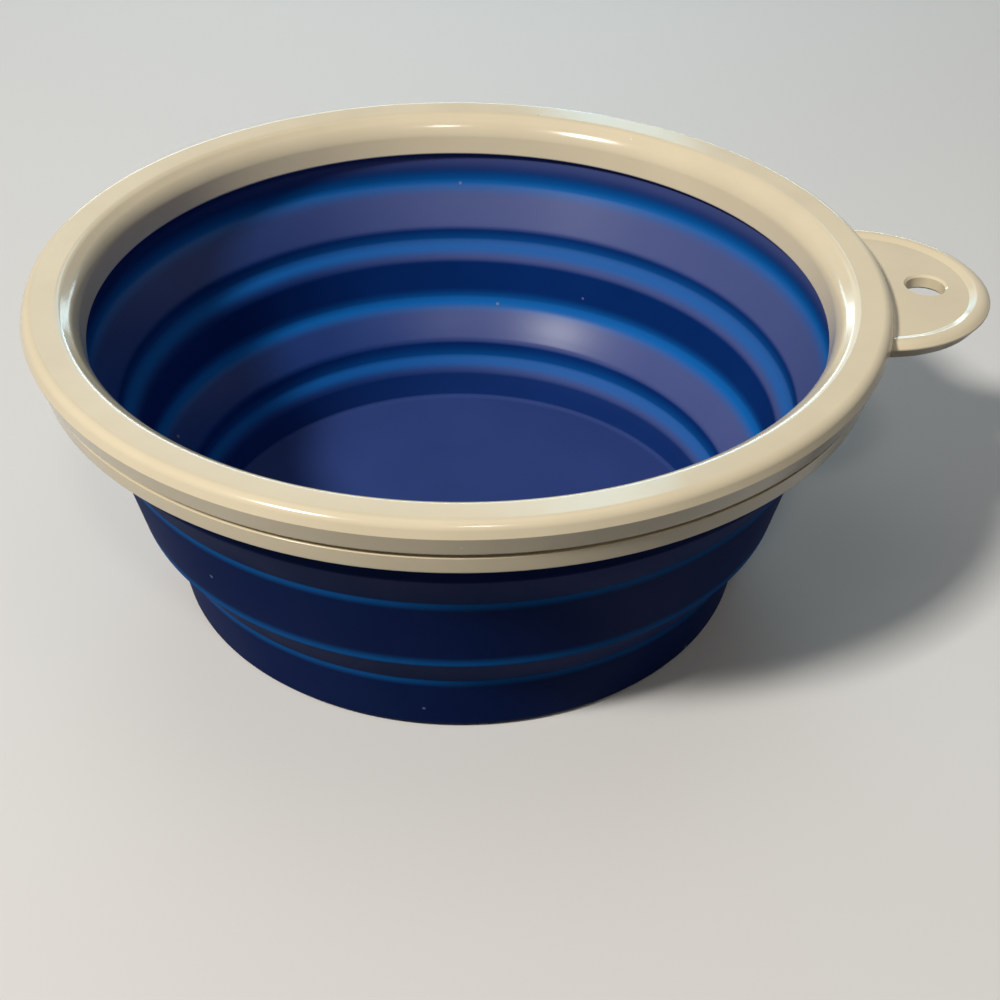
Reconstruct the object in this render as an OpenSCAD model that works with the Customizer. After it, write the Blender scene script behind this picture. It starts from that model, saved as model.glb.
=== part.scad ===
// Collapsible silicone travel bowl with a two-part clamp rim and a hanging tab.
// Every round piece is a revolved section about the bowl's axis, +Z up, with the tab along +X.
// The origin is on the axis, on the surface that the bowl stands on.

/* [Bowl] */
// Height of the open bowl, to the crown's outer corner before its rounding
bowl_h = 51.85; // [49:0.05:56]

/* [Rim] */
// Outside diameter of the rim
rim_d = 130; // [115:1:150]
// Width of the rim, from the lip's inside to the outside
rim_w = 8.8; // [8.4:0.1:10]
// Height of the upper ring's crown above the seat on the silicone flange
crown_h = 5.4; // [4.8:0.1:6]
// Width of the crown's top between its two corners
crown_w = 4.8; // [4.2:0.1:5.2]
// How far the crown's top falls towards the inside
crown_fall = 0.4; // [0.2:0.05:0.6]
// Height of the sharp outside edge above the seat
edge_h = 3.35; // [3:0.05:3.8]
// How far the sharp edge stands out past the crown's outer corner
edge_w = 0.7; // [0.5:0.05:1]
// Inward taper of the side below the sharp edge
side_taper = 1.1; // [0.8:0.1:1.4]
// Height of the crown's inner edge above the seat
nose_h = 2.95; // [2.6:0.05:3.4]
// Distance of the crown's inner edge from the lip's inside
nose_w = 0.8; // [0.6:0.05:1]
// Depth of the inner lip below the seat
lip_depth = 1.7; // [1.2:0.1:2.4]
// Thickness of the inner lip
lip_t = 0.8; // [0.6:0.1:1]
// Thickness of the lower ring under the flange
lower_ring_t = 1.45; // [1.2:0.05:2]
// Height of the groove that shows between the two rings
parting_gap = 0.6; // [0.3:0.05:0.8]
// Width of the lower ring's tongue
tongue_w = 1; // [0.8:0.1:1.2]
// Height of the tongue above the seat
tongue_h = 1.8; // [1:0.1:2.4]

/* [Tab] */
// How far the tab stands out from the rim
tab_reach = 16.2; // [14:0.1:22]
// Radius of the tab's outline
tab_r = 19; // [17:0.1:24]
// Height of the tab's flat top above the seat
tab_rise = 2.35; // [2.1:0.05:2.7]
// Width of the tab's raised border, from its foot to the widest edge
border_w = 3.3; // [2.8:0.1:4]
// Height of the border's ridge above the flat top, before its rounding
border_h = 0.75; // [0.5:0.05:1]
// Distance of the border's ridge from the widest edge
border_ridge_w = 1.4; // [1.2:0.1:1.8]
// Drop of the widest edge below the flat top
border_drop = 0.35; // [0.2:0.05:0.6]
// Inset of the tab's underside from its widest edge
tab_under_inset = 1.3; // [0.8:0.1:1.8]
// Diameter of the hanging hole
hole_d = 6; // [4:0.5:9]
// Distance from the hole's edge to the tab's tip
hole_edge = 6.5; // [5:0.1:8]
// Chamfer at both ends of the hole
hole_chamfer = 0.35; // [0.2:0.05:0.6]

/* [Silicone flange] */
// Thickness of the flange that the rings clamp
flange_t = 1.5; // [1:0.1:2]
// Width of the bead that keys the flange into the upper ring
bead_w = 1.4; // [1:0.1:1.6]
// Height of the bead above the flange
bead_h = 1.4; // [0.8:0.1:1.8]

/* [Silicone wall heights] */
// Height of the upper band, from the upper fold to the flange
upper_band_h = 5.95; // [5:0.05:9]
// Height of the upper fold's cone
upper_fold_h = 7.6; // [6:0.1:10]
// Height of the thin strip at the foot of each fold
strip_h = 2.5; // [2:0.1:3.5]
// Height of the lower fold's cone
lower_fold_h = 6; // [5:0.1:8]
// Height of the base cup up to its ledge
cup_h = 9.4; // [8:0.1:13]
// Thickness of the floor
floor_t = 2.2; // [1.6:0.1:3]

/* [Silicone wall steps] */
// How far the upper fold steps in
upper_fold_step = 4; // [3:0.1:5]
// Width of the ledge on top of the middle band
upper_ledge_w = 2.3; // [1.6:0.1:2.8]
// How far the lower fold steps in
lower_fold_step = 5.3; // [4.5:0.1:6.5]
// Width of the ledge on top of the base cup
lower_ledge_w = 1.7; // [1.2:0.1:2.2]
// How far a ledge falls towards the inside
ledge_fall = 1.5; // [1:0.1:2]
// Inward draft of the middle band's inside
band_draft = 0.3; // [0:0.05:0.6]
// Inward draft of each thin strip
strip_draft = 0.2; // [0:0.05:0.4]
// Inward draft of the base cup's inside
cup_draft = 1; // [0.5:0.1:2]

/* [Silicone wall thickness] */
// Thickness of the upper band
upper_band_t = 2; // [1.6:0.1:2.4]
// Thickness of the upper fold at its foot
upper_fold_t = 1.8; // [1.6:0.1:2.4]
// Thickness at the ridge under the middle band
ridge_t = 1.4; // [1.2:0.1:2]
// Thickness of the lower fold at its foot
lower_fold_t = 2.6; // [2.2:0.1:3.2]
// Thickness of the base cup's wall at the floor
cup_t = 3.7; // [3:0.1:5]
// How far the outside ridges lie below the inside corners
ridge_drop = 0.55; // [0.3:0.05:0.8]

/* [Rounding] */
// Radius of the outside ridges
ridge_round = 0.8; // [0.4:0.1:1]
// Radius of the inside corners, the folds' feet and the creases
corner_round = 0.5; // [0.2:0.1:0.6]
// Radius of the ledges' inner edges
ledge_round = 1; // [0.5:0.1:1.2]
// Radius between the floor and the cup's wall
floor_round = 1.8; // [1:0.1:2.4]
// Radius of the base's outside edge
base_round = 1.2; // [0.6:0.1:2]
// Radius of the crown's outer corner
crown_round = 1.4; // [0.8:0.1:1.8]
// Radius of the shoulder where the crown turns down to its inner edge
shoulder_round = 1.9; // [1:0.1:2.4]
// Radius of the crown's inner edge
nose_round = 4; // [1:0.5:5]
// Radius of the tab's underside edge and of the lower ring's edges
rim_edge_round = 0.5; // [0.3:0.1:0.6]
// Radius of the tab's widest edge and of the upper ring's seat edge
fine_edge_round = 0.3; // [0.2:0.05:0.4]
// Radius of the ridge on the tab's border
border_round = 1.8; // [1.2:0.1:2.2]
// Radius at the foot of the tab's border
border_foot_round = 0.4; // [0.2:0.1:0.8]

/* [Hidden] */
$fn = 128;

// Free gap round each piece that seats in another
fit_gap = 0.3;
// Length by which every cut runs past its piece
overrun = 2;
// Height share of a thin strip at which the outside crease runs
upper_crease_share = 1;
lower_crease_share = 0.6;
// Height share of a thin strip at which it bends
strip_bend_share = 0.5;
// Radii of the lip's inner and outer edge, as shares of the lip's thickness
lip_inner_share = 0.45;
lip_outer_share = 0.2;
// Radius of a rounding's circle, as a share of the one that just touches both sides
arc_share = 1.004;
// How far a rounding's wedge runs past its corner, as a share of the rounding's radius
wedge_share = 0.1;
// Inward draft of the lower ring's outside, as a share of the parting groove's height
lower_ring_draft_share = 0.4;

cream = [0.87, 0.80, 0.67];
navy = [0.10, 0.14, 0.30];

// Height of the middle band, which takes up what the other bands and folds leave of the bowl's height
middle_band_h = bowl_h - crown_h - flange_t - upper_band_h - upper_fold_h - lower_fold_h - cup_h - strip_h - strip_h;

// Levels of the wall, from the surface it stands on upwards
cup_strip_z = cup_h + strip_h;
lower_fold_z = cup_strip_z + lower_fold_h;
middle_ledge_z = lower_fold_z + middle_band_h;
middle_strip_z = middle_ledge_z + strip_h;
upper_fold_z = middle_strip_z + upper_fold_h;
flange_z = upper_fold_z + upper_band_h;
seat_z = flange_z + flange_t;

// Levels at which the wall is divided, where it starts or stops bending
upper_bend_z = upper_fold_z + ridge_t / 2;
middle_bend_z = middle_ledge_z + strip_h * strip_bend_share;
ridge_bend_z = lower_fold_z + ridge_t / 2;
cup_bend_z = cup_h + strip_h * strip_bend_share;

// Radii of the rim
rim_r = rim_d / 2;
lip_r = rim_r - rim_w;
seat_edge_r = rim_r - side_taper;

// Radii of the wall's inside, from the rim down to the floor
upper_band_r = lip_r + lip_t + fit_gap;
upper_foot_r = upper_band_r - upper_fold_step;
upper_strip_r = upper_foot_r - strip_draft;
middle_band_r = upper_strip_r - upper_ledge_w;
middle_foot_r = middle_band_r - band_draft;
lower_foot_r = middle_foot_r - lower_fold_step;
lower_strip_r = lower_foot_r - strip_draft;
cup_r = lower_strip_r - lower_ledge_w;
floor_r = cup_r - cup_draft;

// Radii of the wall's outside
upper_band_out_r = upper_band_r + upper_band_t;
upper_crease_r = upper_foot_r + upper_fold_t;
ridge_r = middle_foot_r + ridge_t;
lower_crease_r = lower_foot_r + lower_fold_t;
base_r = floor_r + cup_t;

// Radii of the clamp between the two rings, from the outside inwards
tongue_out_r = seat_edge_r - tongue_w - fit_gap / 2;
tongue_in_r = tongue_out_r - tongue_w;
flange_r = tongue_in_r - fit_gap;
bead_in_r = flange_r - bead_w;

// Places along the tab
tab_axis_r = rim_r + tab_reach - tab_r;
tab_root_x = bead_in_r;
tab_top_z = seat_z + tab_rise;
hole_r = hole_d / 2;
hole_axis_r = rim_r + tab_reach - hole_edge - hole_r;

// Direction from a corner to its neighbour, and the corner's opening angle
function towards(from, to) = (to - from) / norm(to - from);
function opening(back, ahead) = acos(back * ahead);

// Where the rounding of a corner starts, how far its centre lies, and which way the corner turns
function setback(angle, radius) = radius / tan(angle / 2);
function bisector(back, ahead) = (back + ahead) / norm(back + ahead);
function turn(back, ahead) = back[1] * ahead[0] - back[0] * ahead[1];

// A closed outline, listed anticlockwise as [point, radius], with true arcs at its rounded corners
module rounded_outline(corners) {
    last = len(corners) - 1;
    places = [for (corner = corners) corner[0]];
    radii = [for (corner = corners) corner[1]];
    backs = [for (i = [0 : last]) towards(places[i], places[i == 0 ? last : i - 1])];
    aheads = [for (i = [0 : last]) towards(places[i], places[i == last ? 0 : i + 1])];
    angles = [for (i = [0 : last]) opening(backs[i], aheads[i])];
    centres = [for (i = [0 : last]) places[i] + bisector(backs[i], aheads[i]) * radii[i] / sin(angles[i] / 2)];
    starts = [for (i = [0 : last]) places[i] + backs[i] * setback(angles[i], radii[i])];
    ends = [for (i = [0 : last]) places[i] + aheads[i] * setback(angles[i], radii[i])];
    turns = [for (i = [0 : last]) radii[i] > 0 ? sign(turn(backs[i], aheads[i])) : 0];
    difference() {
        union() {
            polygon(places);
            for (i = [0 : last])
                if (turns[i] < 0)
                    corner_wedge(ends[i], places[i], starts[i], centres[i], radii[i]);
        }
        for (i = [0 : last])
            if (turns[i] > 0)
                corner_wedge(starts[i], places[i], ends[i], centres[i], radii[i]);
    }
}

// The wedge between a corner and the circle that rounds it, filled in a hollow corner and cut off others
module corner_wedge(start, place, end, centre, radius) {
    difference() {
        polygon([centre, for (point = [start, place, end]) point + (point - centre) * wedge_share]);
        translate(centre) rotate(atan2(centre[1] - place[1], centre[0] - place[0])) circle(radius * arc_share);
    }
}

// A plain ring's section between two radii and two levels
module ring_section(inner, outer, low, high) {
    translate([inner, low]) square([outer - inner, high - low]);
}

// Section of the whole silicone wall, from the floor's centre up to the flange
module wall_section() {
    rounded_outline([
        [[0, 0], 0],
        [[base_r, 0], base_round],
        [[lower_crease_r, cup_h + strip_h * lower_crease_share], corner_round],
        [[ridge_r, lower_fold_z - ridge_drop], ridge_round],
        [[upper_crease_r, middle_ledge_z + strip_h * upper_crease_share], corner_round],
        [[upper_band_out_r, upper_fold_z - ridge_drop], ridge_round],
        [[upper_band_out_r, seat_z], 0],
        [[upper_band_r, seat_z], 0],
        [[upper_band_r, upper_fold_z], corner_round],
        [[upper_foot_r, middle_strip_z], corner_round],
        [[upper_strip_r, middle_ledge_z], corner_round],
        [[middle_band_r, middle_ledge_z - ledge_fall], ledge_round],
        [[middle_foot_r, lower_fold_z], corner_round],
        [[lower_foot_r, cup_strip_z], corner_round],
        [[lower_strip_r, cup_h], corner_round],
        [[cup_r, cup_h - ledge_fall], ledge_round],
        [[floor_r, floor_t], floor_round],
        [[0, floor_t], 0]
    ]);
}

// The part of the silicone wall between two levels
module wall_between(low, high) {
    color(navy)
        rotate_extrude()
            intersection() {
                wall_section();
                ring_section(0, rim_r, low, high);
            }
}

// Section of the upper ring: a flat seat on the flange, a tapered side up to the sharp edge, the crown and the lip
module upper_ring_section() {
    lip_edge = [lip_r, seat_z - lip_depth];
    crown_corner = [rim_r - edge_w, seat_z + crown_h];
    rounded_outline([
        [lip_edge, lip_t * lip_inner_share],
        [lip_edge + [lip_t, 0], lip_t * lip_outer_share],
        [[lip_r + lip_t, seat_z], 0],
        [[seat_edge_r, seat_z], fine_edge_round],
        [[rim_r, seat_z + edge_h], 0],
        [crown_corner, crown_round],
        [crown_corner - [crown_w, crown_fall], shoulder_round],
        [[lip_r + nose_w, seat_z + nose_h], nose_round]
    ]);
}

// Section of the pockets in the seat that take the flange's bead and the lower ring's tongue
module pocket_section() {
    side_gap = fit_gap / 2;
    ring_section(bead_in_r - side_gap, tongue_in_r, seat_z - overrun, seat_z + bead_h + fit_gap);
    ring_section(tongue_in_r - side_gap, tongue_out_r + side_gap, seat_z - overrun, seat_z + tongue_h + fit_gap);
}

// Section of the tab about its own axis: undercut edge, raised border, flat top
module tab_section() {
    rounded_outline([
        [[0, seat_z], 0],
        [[tab_r - tab_under_inset, seat_z], rim_edge_round],
        [[tab_r, tab_top_z - border_drop], fine_edge_round],
        [[tab_r - border_ridge_w, tab_top_z + border_h], border_round],
        [[tab_r - border_w, tab_top_z], border_foot_round],
        [[0, tab_top_z], 0]
    ]);
}

// Section of the hanging hole about its own axis, chamfered at both faces
module hole_section() {
    mouth_r = hole_r + hole_chamfer;
    ring_section(0, hole_r, seat_z - overrun, tab_top_z + overrun);
    polygon([
        [0, tab_top_z - hole_chamfer],
        [hole_r, tab_top_z - hole_chamfer],
        [mouth_r + overrun, tab_top_z + overrun],
        [0, tab_top_z + overrun]
    ]);
    polygon([
        [0, seat_z - overrun],
        [mouth_r + overrun, seat_z - overrun],
        [hole_r, seat_z + hole_chamfer],
        [0, seat_z + hole_chamfer]
    ]);
}

// The tab, ending at a flat root inside the ring
module tab_body() {
    side = tab_r + overrun;
    difference() {
        translate([tab_axis_r, 0, 0]) rotate_extrude() tab_section();
        translate([tab_root_x - 2 * side, -side, seat_z - overrun]) cube([2 * side, 2 * side, tab_rise + 2 * overrun]);
    }
}

module rim_upper_ring() {
    color(cream)
        difference() {
            union() {
                rotate_extrude() upper_ring_section();
                tab_body();
            }
            rotate_extrude() pocket_section();
            translate([hole_axis_r, 0, 0]) rotate_extrude() hole_section();
        }
}

// The lower ring holds the flange from below and its tongue enters the upper ring
module rim_lower_ring() {
    inside_r = upper_band_out_r + fit_gap;
    low_z = flange_z - lower_ring_t;
    edge_z = seat_z - parting_gap;
    color(cream)
        rotate_extrude()
            rounded_outline([
                [[inside_r, low_z], rim_edge_round],
                [[seat_edge_r - parting_gap * lower_ring_draft_share, low_z], rim_edge_round],
                [[seat_edge_r, edge_z], 0],
                [[tongue_out_r, edge_z], 0],
                [[tongue_out_r, seat_z + tongue_h], 0],
                [[tongue_in_r, seat_z + tongue_h], 0],
                [[tongue_in_r, flange_z], 0],
                [[inside_r, flange_z], 0]
            ]);
}

// The wall's top band, with the flange and bead that the rings clamp
module upper_band() {
    wall_between(upper_bend_z, seat_z);
    color(navy)
        rotate_extrude() {
            ring_section(upper_band_r, flange_r, flange_z, seat_z);
            ring_section(bead_in_r, flange_r, flange_z, seat_z + bead_h);
        }
}

module upper_fold() wall_between(middle_bend_z, upper_bend_z);

module middle_band() wall_between(ridge_bend_z, middle_bend_z);

module lower_fold() wall_between(cup_bend_z, ridge_bend_z);

module base_cup() wall_between(0, cup_bend_z);

rim_upper_ring();
rim_lower_ring();
upper_band();
upper_fold();
middle_band();
lower_fold();
base_cup();
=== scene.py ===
import math

import bmesh
import bpy
from mathutils import Matrix, Vector


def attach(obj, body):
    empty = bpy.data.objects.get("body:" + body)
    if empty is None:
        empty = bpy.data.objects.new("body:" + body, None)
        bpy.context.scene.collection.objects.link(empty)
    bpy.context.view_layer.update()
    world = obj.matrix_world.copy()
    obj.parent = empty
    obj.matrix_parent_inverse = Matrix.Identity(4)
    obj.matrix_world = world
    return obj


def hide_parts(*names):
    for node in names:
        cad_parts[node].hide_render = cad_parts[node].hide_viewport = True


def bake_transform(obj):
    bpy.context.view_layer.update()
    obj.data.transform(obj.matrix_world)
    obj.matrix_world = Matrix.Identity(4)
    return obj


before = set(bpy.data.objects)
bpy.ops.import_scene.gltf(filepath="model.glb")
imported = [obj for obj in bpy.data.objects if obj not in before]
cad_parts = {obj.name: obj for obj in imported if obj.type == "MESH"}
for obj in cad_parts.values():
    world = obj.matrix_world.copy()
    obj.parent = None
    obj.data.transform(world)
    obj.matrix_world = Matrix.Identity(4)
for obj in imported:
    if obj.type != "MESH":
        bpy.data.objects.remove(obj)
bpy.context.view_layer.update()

# The lower part of the silicone moulding: the floor and cup, the lower fold that snaps over, and
# the foot of the stiff middle band. It is navy silicone with a satin skin, moulded in one piece
# with the upper part.
MM = 0.001
SPIN_STEPS = 192
FULL_TURN = 2 * math.pi
MERGE_REACH = 0.002
band_split = 24.0


def start_outline(name, r, z):
    """Adds a piece that is so far the first point of its section."""
    bpy.ops.object.select_all(action="DESELECT")
    bpy.ops.mesh.primitive_plane_add(size=MM, location=(0, 0, 0))
    piece = bpy.context.object
    piece.name = piece.data.name = name
    bpy.ops.object.mode_set(mode="EDIT")
    bpy.ops.mesh.select_all(action="SELECT")
    bpy.ops.mesh.merge(type="CENTER")
    bpy.ops.transform.translate(value=(r * MM, 0, z * MM))
    return piece


def pick_points(piece, chosen):
    """Selects the points of the section that lie at the chosen places, in millimetres."""
    bpy.ops.mesh.select_mode(type="VERT")
    bpy.ops.mesh.select_all(action="DESELECT")
    shape = bmesh.from_edit_mesh(piece.data)
    for place in chosen:
        spot = Vector((place[0] * MM, 0, place[1] * MM))
        nearest = min(shape.verts, key=lambda point: (point.co - spot).length)
        nearest.select = True
    shape.select_flush_mode()
    bmesh.update_edit_mesh(piece.data)


def round_corner(piece, corners, index, radius, segments):
    """Rounds one corner of the section to a radius, in millimetres."""
    here = Vector(corners[index][:2])
    back = (Vector(corners[index - 1][:2]) - here).normalized()
    ahead = (Vector(corners[(index + 1) % len(corners)][:2]) - here).normalized()
    setback = radius / math.tan(back.angle(ahead) / 2)
    pick_points(piece, [here])
    bpy.ops.mesh.bevel(offset_type="OFFSET", offset=setback * MM, segments=segments, affect="VERTICES")


def spin_section(name, corners, centre=0.0, closed=True, steps=SPIN_STEPS, segments=5, turn=FULL_TURN):
    """Draws a section as (radius, height, rounding) corners and spins it round an upright axis.

    A part turn is centred on the x axis, and its section is filled so that both ends are closed.
    """
    piece = start_outline(name, centre + corners[0][0], corners[0][1])
    for before, after in zip(corners, corners[1:]):
        step = ((after[0] - before[0]) * MM, 0, (after[1] - before[1]) * MM)
        bpy.ops.mesh.extrude_region_move(TRANSFORM_OT_translate={"value": step})
    places = [(centre + r, z, rounding) for r, z, rounding in corners]
    if closed:
        pick_points(piece, [places[0], places[-1]])
        bpy.ops.mesh.edge_face_add()
    for index, (r, z, rounding) in enumerate(places):
        if rounding:
            round_corner(piece, places, index, rounding, segments)
    axis_foot = (centre * MM, 0, 0)
    bpy.ops.mesh.select_all(action="SELECT")
    if turn < FULL_TURN:
        bpy.ops.mesh.edge_face_add()
    bpy.ops.mesh.spin(steps=steps, angle=turn, center=axis_foot, axis=(0, 0, 1))
    bpy.ops.mesh.select_all(action="SELECT")
    if turn < FULL_TURN:
        bpy.ops.transform.rotate(value=-turn / 2, orient_axis="Z", center_override=axis_foot)
    bpy.ops.mesh.remove_doubles(threshold=MERGE_REACH * MM)
    bpy.ops.mesh.normals_make_consistent(inside=False)
    bpy.ops.object.mode_set(mode="OBJECT")
    return piece


def smooth_skin(piece, angle=40):
    """Shades a piece smooth, with flats that stay flat beside their roundings."""
    bpy.ops.object.select_all(action="DESELECT")
    piece.select_set(True)
    bpy.context.view_layer.objects.active = piece
    bpy.ops.object.shade_smooth_by_angle(angle=math.radians(angle))
    weights = piece.modifiers.new("flat_sides", "WEIGHTED_NORMAL")
    weights.keep_sharp = True
    bpy.ops.object.modifier_apply(modifier=weights.name)


def mark_skin(piece):
    """Stores for each point its height on the open bowl, if its skin is inside, and if it faces up.

    The seam where the two silicone pieces meet is hidden, so its points count as upright wall.
    """
    seam_reach = 0.01
    nearly_level = 0.5
    heights, insides, upward = [], [], []
    for point in piece.data.vertices:
        height = point.co.z / MM
        on_seam = abs(height - band_split) < seam_reach
        outward = point.co.x * point.normal.x + point.co.y * point.normal.y
        is_inside = outward < 0 or (point.normal.z > nearly_level and not on_seam)
        heights.append(height)
        insides.append(1.0 if is_inside else 0.0)
        upward.append(0.0 if on_seam else max(0.0, point.normal.z))
    marks = {"rest_height": heights, "inside_skin": insides, "faces_up": upward}
    for name, values in marks.items():
        piece.data.attributes.new(name, "FLOAT", "POINT").data.foreach_set("value", values)


class Value:
    """A shader value. Sums and products of values add maths nodes to their material."""

    def __init__(self, tree, socket):
        self.tree = tree
        self.socket = socket

    def node(self, kind, settings, sockets, out=0):
        """Adds any other node: its type, its settings, and the values or links of its sockets."""
        made = self.tree.nodes.new(kind)
        for key, setting in settings.items():
            setattr(made, key, setting)
        for key, given in sockets.items():
            if isinstance(given, Value):
                self.tree.links.new(given.socket, made.inputs[key])
            else:
                made.inputs[key].default_value = given
        return Value(self.tree, made.outputs[out])

    def maths(self, operation, first, second):
        return self.node("ShaderNodeMath", {"operation": operation}, {0: first, 1: second})

    def __add__(self, other):
        return self.maths("ADD", self, other)

    __radd__ = __add__

    def __sub__(self, other):
        return self.maths("SUBTRACT", self, other)

    def __rsub__(self, other):
        return self.maths("SUBTRACT", other, self)

    def __mul__(self, other):
        return self.maths("MULTIPLY", self, other)

    __rmul__ = __mul__

    def __lt__(self, other):
        return self.maths("LESS_THAN", self, other)

    def fade(self, start, end, low=0.0, high=1.0):
        """Goes smoothly from low at start to high at end."""
        limits = {"Value": self, "From Min": start, "From Max": end, "To Min": low, "To Max": high}
        return self.node("ShaderNodeMapRange", {"interpolation_type": "SMOOTHSTEP"}, limits)

    def band(self, start, full, fading, end):
        """Rises from 0 at start to 1 at full, and falls from 1 at fading to 0 at end."""
        return self.fade(end, fading) * self.fade(start, full)

    def tint(self, low, high):
        """Mixes two colours by this value."""
        return self.node("ShaderNodeMix", {"data_type": "RGBA"}, {"Factor": self, 6: low, 7: high}, out=2)


def new_finish(name):
    """Starts a material; gives its shader node and a value for its object coordinates."""
    finish = bpy.data.materials.new(name)
    finish.use_nodes = True
    tree = finish.node_tree
    shader = tree.nodes["Principled BSDF"]
    coords = tree.nodes.new("ShaderNodeTexCoord")
    return finish, shader, Value(tree, coords.outputs["Object"])


def feed(shader, socket, value):
    """Links a value to a socket of a shader."""
    value.tree.links.new(value.socket, shader.inputs[socket])


def dust(coords, cell, size, share):
    """Tiny specks of a size, one in a share of the cells of a given width, in millimetres."""
    scaled = {"Vector": coords, "Scale": 1 / (cell * MM), "Randomness": 1.0}
    distance = coords.node("ShaderNodeTexVoronoi", {}, scaled, out="Distance")
    chance = coords.node("ShaderNodeTexVoronoi", {}, scaled, out="Color")
    picked = chance.node("ShaderNodeSeparateColor", {}, {0: chance})
    edge = size / cell
    return distance.fade(edge, edge / 2) * (picked < share)


def silicone_finish():
    """Navy silicone: painted shade on the outside, painted glow where the wall is thin, satin on the folds,
    and painted sheen where it faces up.
    """
    finish, shader, coords = new_finish("navy_silicone")
    height, inside, faces_up = (
        coords.node("ShaderNodeAttribute", {"attribute_name": name}, {}, out="Fac")
        for name in ("rest_height", "inside_skin", "faces_up"))
    cloud = coords.node("ShaderNodeTexNoise", {}, {"Vector": coords, "Scale": 45.0, "Detail": 3.0})

    # The navy of the mould; the outside skin is a darker copy of it, a painted shade.
    deep_navy = (0.0020, 0.026, 0.145, 1)
    light_navy = (0.0026, 0.032, 0.175, 1)
    shaded_outside_navy = (0.0014, 0.010, 0.064, 1)
    skin = inside.tint(shaded_outside_navy, cloud.fade(start=0.3, end=0.7).tint(deep_navy, light_navy))

    # A painted sheen, lighter and greyer, where the skin faces up: even on the floor, and thinner to the
    # left on the folds, where less light falls.
    painted_sheen_grey = (0.068, 0.090, 0.245, 1)
    fold_level = 8.0
    floor_level = 3.0
    sheen_left = -20.0
    sheen_right = 30.0
    sheen_slant = 0.8
    across = coords.node("ShaderNodeSeparateXYZ", {}, {0: coords}, out="X")
    slanted = across + height * (sheen_slant * MM)
    sheen_across = slanted.fade(sheen_left * MM, sheen_right * MM, low=0.12, high=1.0)
    floor_sheen = height.fade(fold_level, floor_level, low=0.0, high=0.42)
    fold_sheen = height.fade(floor_level, fold_level) * sheen_across
    painted_sheen = faces_up.fade(start=0.08, end=0.45) * inside * (floor_sheen + fold_sheen)
    sheened_skin = (painted_sheen * cloud.fade(start=0.2, end=0.8, low=0.85, high=1.0)).tint(skin, painted_sheen_grey)

    # Painted glow: brighter blue lines where the thin wall lets light through, as (height, reach above,
    # reach below, strength).
    glow_blue = (0.004, 0.115, 0.40, 1)
    inside_glow_lines = (
        (39.0, 3.0, 2.6, 0.9), (28.1, 3.4, 1.8, 0.75), (17.7, 2.8, 1.9, 1.0), (8.0, 3.4, 1.8, 0.7))
    outside_glow_lines = ((31.1, 0.5, 1.6, 0.8), (17.7, 1.8, 0.6, 0.8), (10.6, 0.5, 1.5, 0.7))
    painted_glow = 0.0
    for lines, side in ((inside_glow_lines, inside), (outside_glow_lines, 1.0 - inside)):
        for level, above, below, strength in lines:
            painted_glow = height.band(level - below, level, level, level + above) * strength * side + painted_glow
    clear = painted_glow.tint(sheened_skin, glow_blue)
    speck_grey = (0.16, 0.19, 0.30, 1)
    specks = dust(coords, cell=7.0, size=0.38, share=0.3)
    feed(shader, "Base Color", specks.tint(clear, speck_grey))

    # The folds are handled most and have a satin sheen on the inside.
    upper_sheen = 0.7
    lower_sheen = 0.45
    upper_satin = height.band(31.2, 32.4, 38.0, 39.4) * upper_sheen
    lower_satin = height.band(11.6, 12.8, 16.6, 17.4) * lower_sheen
    feed(shader, "Coat Weight", (upper_satin + lower_satin) * inside)
    feed(shader, "Roughness", cloud.fade(start=0.25, end=0.75, low=0.58, high=0.68))
    grain = coords.node("ShaderNodeTexNoise", {}, {"Vector": coords, "Scale": 2600.0, "Detail": 2.0})
    relief = {"Strength": 0.05, "Distance": 0.1 * MM, "Height": grain}
    feed(shader, "Normal", grain.node("ShaderNodeBump", {}, relief))
    shader.inputs["IOR"].default_value = 1.42
    shader.inputs["Specular IOR Level"].default_value = 0.06
    shader.inputs["Coat IOR"].default_value = 1.42
    shader.inputs["Coat Roughness"].default_value = 0.34
    return finish


def dress(piece, finish):
    """Gives a piece its finish as its only material."""
    piece.data.materials.clear()
    piece.data.materials.append(finish)


navy_silicone = silicone_finish()
floor_top = 1.0
base_foot = (46.0, 0, 1.2)
cup_crease = (47.8, 10.9, 0.8)
lower_ridge = (51.9, 17.35, 0.9)
split_outside = (53.415, band_split, 0)
split_inside = (50.693, band_split, 0)
lower_fold_head = (50.5, 17.9, 2.0)
lower_fold_bulge = (48.1, 15.62, 40.0)
lower_fold_foot = (45.2, 11.9, 2.0)
lower_ledge_back = (45.0, 8.6, 1.2)
lower_ledge_edge = (43.3, 6.7, 3.6)
floor_corner = (42.4, floor_top, 0.8)
silicone_base = spin_section("silicone_base", [
    (0, 0, 0), base_foot, cup_crease, lower_ridge, split_outside, split_inside,
    lower_fold_head, lower_fold_bulge, lower_fold_foot, lower_ledge_back, lower_ledge_edge,
    floor_corner, (0, floor_top, 0)], closed=False, segments=10)
mark_skin(silicone_base)
smooth_skin(silicone_base)
dress(silicone_base, navy_silicone)
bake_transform(silicone_base)
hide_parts("base_cup", "lower_fold")
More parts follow.
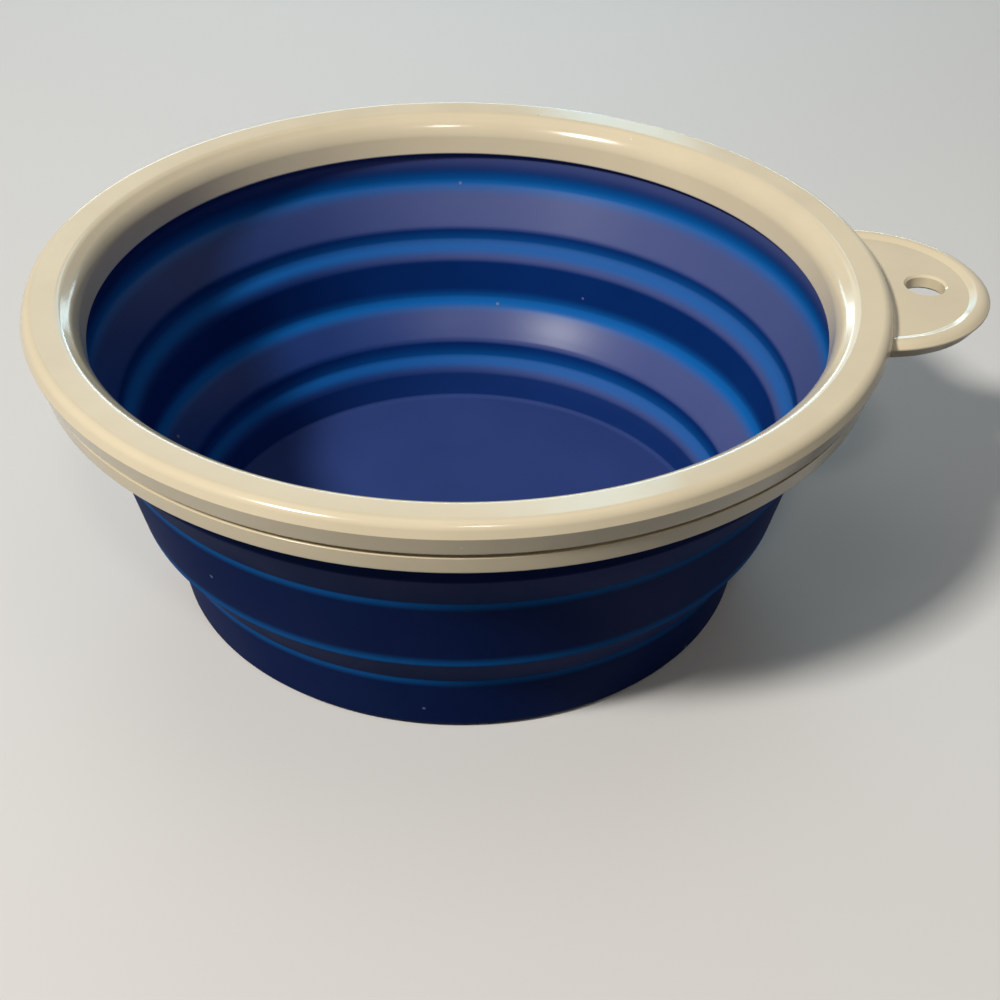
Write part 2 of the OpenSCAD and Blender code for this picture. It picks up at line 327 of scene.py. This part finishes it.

# The upper part of the silicone moulding: the stiff middle band with its ledge, the upper fold,
# and the top band, whose flange and bead are clamped in the rim.
flange_low = 44.95
seat = 46.45
bead_top = 47.85
band_outer_r = 59.3
band_inner_r = 57.3
bead_outer_r = 61.45
bead_inner_r = 60.05
flange_round = 0.2
bead_round = 0.4
upper_crease = (55.1, 31.4, 0.8)
upper_ridge = (band_outer_r, 38.45, 0.9)
upper_fold_head = (band_inner_r, 39.0, 2.4)
upper_fold_foot = (53.3, 31.4, 2.2)
upper_ledge_back = (53.1, 28.6, 1.9)
upper_ledge_edge = (50.75, 26.9, 3.0)
silicone_top = spin_section("silicone_top", [
    split_outside, upper_crease, upper_ridge, (band_outer_r, flange_low, 0),
    (bead_outer_r, flange_low, flange_round), (bead_outer_r, bead_top, bead_round),
    (bead_inner_r, bead_top, bead_round), (bead_inner_r, seat, 0), (band_inner_r, seat, 0),
    upper_fold_head, upper_fold_foot, upper_ledge_back, upper_ledge_edge, split_inside], segments=10)
mark_skin(silicone_top)
smooth_skin(silicone_top)
dress(silicone_top, navy_silicone)
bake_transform(silicone_top)
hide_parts("upper_band", "upper_fold", "middle_band")


# The lower rim ring: a cream plastic moulding that holds the silicone flange from below. Its
# tongue stands in a groove of the upper ring, and a fine dark line shows where the two meet.
def plastic_finish():
    """Cream plastic: glossy moulding with faint flow marks, fine wear and a little dust."""
    finish, shader, coords = new_finish("cream_plastic")
    cloud = coords.node("ShaderNodeTexNoise", {}, {"Vector": coords, "Scale": 60.0, "Detail": 4.0})
    dark_cream = (0.690, 0.595, 0.415, 1)
    light_cream = (0.735, 0.635, 0.445, 1)
    scuff_cream = (0.82, 0.76, 0.62, 1)
    dirt_brown = (0.25, 0.20, 0.14, 1)
    scuff_roughness = 0.3
    cream = cloud.fade(start=0.3, end=0.7).tint(dark_cream, light_cream)
    scuffs = dust(coords, cell=6.0, size=0.2, share=0.14)
    dirt = dust(coords, cell=7.0, size=0.16, share=0.12)
    feed(shader, "Base Color", dirt.tint(scuffs.tint(cream, scuff_cream), dirt_brown))
    gloss = cloud.fade(start=0.3, end=0.7, low=0.13, high=0.17)
    feed(shader, "Roughness", gloss + scuffs * scuff_roughness)
    ripple = coords.node("ShaderNodeTexNoise", {}, {"Vector": coords, "Scale": 240.0, "Detail": 1.0})
    relief = {"Strength": 0.06, "Distance": 0.4 * MM, "Height": ripple}
    feed(shader, "Normal", ripple.node("ShaderNodeBump", {}, relief))
    shader.inputs["IOR"].default_value = 1.49
    return finish


cream_plastic = plastic_finish()
lower_ring_low = 43.0
lower_ring_top = 45.85
lower_ring_inner_r = 59.6
lower_ring_foot_r = 63.1
lower_ring_edge_r = 63.55
lower_ring_round = 0.5
parting_round = 0.12
tongue_outer_r = 62.75
tongue_inner_r = 61.75
tongue_top = 48.25
lower_ring = spin_section("lower_rim", [
    (lower_ring_inner_r, lower_ring_low, lower_ring_round),
    (lower_ring_foot_r, lower_ring_low, lower_ring_round),
    (lower_ring_edge_r, lower_ring_top, parting_round), (tongue_outer_r, lower_ring_top, 0),
    (tongue_outer_r, tongue_top, 0), (tongue_inner_r, tongue_top, 0), (tongue_inner_r, flange_low, 0),
    (lower_ring_inner_r, flange_low, 0)])
smooth_skin(lower_ring)
dress(lower_ring, cream_plastic)
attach(lower_ring, "rim")
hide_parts("rim_lower_ring")

# The upper rim ring: the same cream plastic. Its crown falls a little towards the inside, a sharp
# edge runs round its outside above a tapered side, and a thin lip covers the silicone's top. A flat
# hanging tab with a raised border and a hole is moulded on.
lip_low = 44.75
lip_back_r = 57.0
lip_edge = (56.2, lip_low, 0.36)
lip_back = (lip_back_r, lip_low, 0.16)
bead_pocket_r = 59.9
bead_pocket_top = 48.15
groove_inner_r = 61.6
groove_outer_r = 62.9
groove_top = 48.55
side_foot = (63.9, seat, 0.8)
sharp_edge = (64.98, 49.8, 0.1)
crown_outside = (64.28, 51.84, 1.4)
crown_inside = (59.5, 51.44, 1.9)
nose = (57.0, 49.4, 4.0)
upper_ring = spin_section("upper_rim", [
    lip_edge, lip_back, (lip_back_r, seat, 0), (bead_pocket_r, seat, 0), (bead_pocket_r, bead_pocket_top, 0),
    (groove_inner_r, bead_pocket_top, 0), (groove_inner_r, groove_top, 0), (groove_outer_r, groove_top, 0),
    (groove_outer_r, seat, 0), side_foot, sharp_edge, crown_outside, crown_inside, nose],
    steps=256, segments=10)
tab_axis = 62.2
tab_root = 60.05
plateau = 48.8
tab_foot = (17.7, seat, 0.5)
tab_edge = (18.99, 48.45, 0.3)
border_crest = (17.6, 49.55, 1.8)
border_foot = (15.7, plateau, 0.4)
tab = spin_section("tab", [
    (0, seat, 0), tab_foot, tab_edge, border_crest, border_foot, (0, plateau, 0)],
    centre=tab_axis, closed=False, steps=160, segments=7)
bpy.ops.object.select_all(action="DESELECT")
tab.select_set(True)
bpy.context.view_layer.objects.active = tab
bpy.ops.object.mode_set(mode="EDIT")
bpy.ops.mesh.select_all(action="SELECT")
bpy.ops.mesh.bisect(plane_co=(tab_root * MM, 0, 0), plane_no=(1, 0, 0), use_fill=True, clear_inner=True)
bpy.ops.mesh.select_all(action="SELECT")
bpy.ops.mesh.normals_make_consistent(inside=False)
bpy.ops.object.mode_set(mode="OBJECT")


def boolean(piece, other, operation):
    """Joins another solid to a piece, or cuts it out, and removes the other solid."""
    bpy.context.view_layer.objects.active = piece
    cut = piece.modifiers.new("cut", "BOOLEAN")
    cut.object = other
    cut.operation = operation
    cut.solver = "EXACT"
    bpy.ops.object.modifier_apply(modifier=cut.name)
    bpy.data.objects.remove(other)


hole_at = 71.7
hole_r = 3.0
hole_edge = 0.35
overrun_below = 2.45
overrun_above = 2.0
hole = spin_section("hole", [
    (0, seat - overrun_below, 0), (hole_r + hole_edge + overrun_below, seat - overrun_below, 0),
    (hole_r, seat + hole_edge, 0), (hole_r, plateau - hole_edge, 0),
    (hole_r + hole_edge + overrun_above, plateau + overrun_above, 0), (0, plateau + overrun_above, 0)],
    centre=hole_at, closed=False, steps=96)
boolean(tab, hole, "DIFFERENCE")
boolean(upper_ring, tab, "UNION")


def hollow(start, pull, end, steps):
    """Section points of a hollow curve from start to end, drawn towards a third point."""
    points = []
    for step in range(steps + 1):
        share = step / steps
        r, z = ((1 - share) ** 2 * a + 2 * share * (1 - share) * b + share * share * c
                for a, b, c in zip(start, pull, end))
        points.append((r, z, 0))
    return points


fillet_inner_r = 63.6
fillet_outer_r = 66.0
fillet_low = 48.4
fillet_top = 49.65
fillet_curve = hollow((fillet_outer_r, 48.75), (65.14, 48.86), (64.92, fillet_top), steps=4)
fillet_turn = 30
fillet = spin_section("fillet", [
    (fillet_inner_r, fillet_low, 0), (fillet_outer_r, fillet_low, 0), *fillet_curve,
    (fillet_inner_r, fillet_top, 0)], steps=24, turn=math.radians(fillet_turn))
boolean(upper_ring, fillet, "UNION")
smooth_skin(upper_ring, angle=30)
dress(upper_ring, cream_plastic)
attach(upper_ring, "rim")
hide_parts("rim_upper_ring")

# A plain pale floor under the bowl. It is pale where it is seen, and gives back little light, so
# that the silicone stays deep. It lies a hair below the base.
floor_size = 2.4
floor_drop = 0.2
floor_dark = (0.05, 0.05, 0.05, 1)
floor_pale = (0.72, 0.71, 0.695, 1)
bpy.ops.object.select_all(action="DESELECT")
bpy.ops.mesh.primitive_plane_add(size=floor_size, location=(0, 0, -floor_drop * MM))
floor = bpy.context.object
floor.name = "floor"
floor_finish, floor_shader, floor_coords = new_finish("pale_floor")
floor_shader.inputs["Roughness"].default_value = 0.6


def shown(start):
    """1 on the rays that show the surroundings: from the camera, in a reflection or passing through."""
    from_camera, in_gloss, passing = (
        start.node("ShaderNodeLightPath", {}, {}, out=kind)
        for kind in ("Is Camera Ray", "Is Glossy Ray", "Is Transmission Ray"))
    return start.maths("MAXIMUM", start.maths("MAXIMUM", from_camera, in_gloss), passing)


feed(floor_shader, "Base Color", shown(floor_coords).tint(floor_dark, floor_pale))
floor.data.materials.append(floor_finish)


# Soft studio light: a broad panel overhead, the key panel at the front left, a small warm panel in
# front and three cool panels behind, which draw the highlights along the rim.
def panel(name, size, place, target, power, colour):
    """A soft rectangular lamp that points at a target."""
    lamp = bpy.data.lights.new(name, "AREA")
    lamp.shape = "RECTANGLE"
    lamp.size, lamp.size_y = size
    lamp.energy = power
    lamp.color = colour
    holder = bpy.data.objects.new(name, lamp)
    bpy.context.scene.collection.objects.link(holder)
    holder.location = place
    holder.rotation_euler = (Vector(target) - Vector(place)).to_track_quat("-Z", "Y").to_euler()


panel("overhead_panel", size=(1.0, 0.8), place=(0, 0.1, 1.4), target=(0, 0, 0),
      power=1.4, colour=(1.0, 0.98, 0.95))
panel("key_panel", size=(0.18, 0.15), place=(-0.64, -0.57, 0.97), target=(0, 0, 0.03),
      power=15.2, colour=(1.0, 0.965, 0.91))
panel("warm_panel", size=(0.14, 0.10), place=(0.09, -0.78, 1.04), target=(0, 0, 0.03),
      power=1.5, colour=(1.0, 0.95, 0.88))
panel("tall_cool_panel", size=(0.11, 0.85), place=(0.14, 1.5, 0.62), target=(0, 0, 0.04),
      power=1.0, colour=(0.30, 0.74, 1.0))
panel("low_cool_panel", size=(1.4, 0.16), place=(0, 1.5, 0.28), target=(0, 0, 0.05),
      power=4.0, colour=(0.66, 0.91, 1.0))
panel("broad_cool_panel", size=(0.55, 0.60), place=(-0.20, 1.5, 0.55), target=(0, 0, 0.04),
      power=1.5, colour=(0.85, 0.96, 1.0))
world = bpy.data.worlds.new("studio")
bpy.context.scene.world = world
world.use_nodes = True
backdrop = world.node_tree.nodes["Background"]
backdrop.inputs["Color"].default_value = (0.97, 0.98, 1.0, 1)
backdrop_seen = 0.55
backdrop_light = 0.06
backdrop_level = shown(Value(world.node_tree, None)).fade(0.0, 1.0, low=backdrop_light, high=backdrop_seen)
feed(backdrop, "Strength", backdrop_level)

# The camera looks down into the bowl from the front, with the tab to the right. Its place is in
# metres, its angles are in radians, and its picture angle is a focal length per sensor width.
camera_place = (0, -0.20995, 0.1634)
pitch = 0.63839
roll = 0.01937
yaw = 0.03215
sensor_width = 36.0
focal_share = 1.550
look = Vector((math.sin(yaw) * math.cos(pitch), math.cos(yaw) * math.cos(pitch), -math.sin(pitch)))
level = Vector((math.cos(yaw), -math.sin(yaw), 0))
upright = level.cross(look)
side = level * math.cos(roll) + upright * math.sin(roll)
top = upright * math.cos(roll) - level * math.sin(roll)
lens = bpy.data.cameras.new("camera")
lens.sensor_width = sensor_width
lens.lens = sensor_width * focal_share
lens.clip_start = 0.01
camera = bpy.data.objects.new("camera", lens)
bpy.context.scene.collection.objects.link(camera)
turned = Matrix((side, top, -look)).transposed().to_4x4()
camera.matrix_world = Matrix.Translation(camera_place) @ turned
bpy.context.scene.camera = camera
bpy.context.scene.view_settings.view_transform = "Standard"
